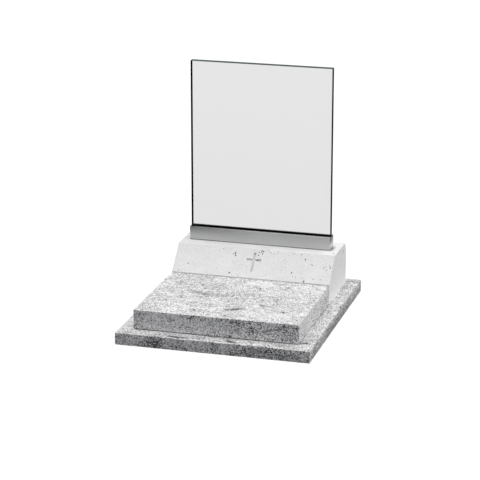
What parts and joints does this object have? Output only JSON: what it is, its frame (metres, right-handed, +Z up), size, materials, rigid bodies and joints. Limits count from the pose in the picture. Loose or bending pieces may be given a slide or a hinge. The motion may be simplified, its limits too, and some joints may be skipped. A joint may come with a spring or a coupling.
{
  "type": "urn grave monument",
  "caption": "Granite cover slab and a cast concrete plinth with a sloped, crossed face on a granite ground plate, under an upright glass pane held in a metal clamp rail.",
  "frame": {"origin": "centre of the ground plate's underside, on the surface that the monument rests on", "axes": "+Z up along the glass, +X across the monument to the right as seen from the front, -Y towards the front, where the cover slab lies"},
  "size_m": [0.7, 0.808, 0.8835],
  "materials": {
    "granite": "fine-grained grey granite with wispy dark veins, honed",
    "cast_concrete": "white fair-faced concrete with small air pores",
    "bed_sealant": "dark grey sealant, matte",
    "rail_sealant": "grey sealing strip, matte",
    "brushed_aluminium": "brushed along its length, clear anodised",
    "anchor_steel": "plain stainless steel",
    "block_plastic": "black plastic",
    "gasket_rubber": "black glazing rubber, matte",
    "clear_glass": "clear thick float glass with dark green polished edges"
  },
  "bodies": {
    "root": {"base_plate": "granite", "slab_bed_front": "bed_sealant", "slab_bed_back": "bed_sealant", "slab_bed_left": "bed_sealant", "slab_bed_right": "bed_sealant", "cover_slab": "granite", "slab_plinth_joint": "bed_sealant", "plinth_block": "cast_concrete", "rail_bed": "rail_sealant", "clamp_rail": "brushed_aluminium", "rail_cap_left": "brushed_aluminium", "rail_cap_right": "brushed_aluminium", "rail_anchor_left": "anchor_steel", "rail_anchor_mid": "anchor_steel", "rail_anchor_right": "anchor_steel", "setting_block_left": "block_plastic", "setting_block_right": "block_plastic", "gasket_front": "gasket_rubber", "gasket_back": "gasket_rubber", "glass_pane": "clear_glass"}
  },
  "joints": []
}
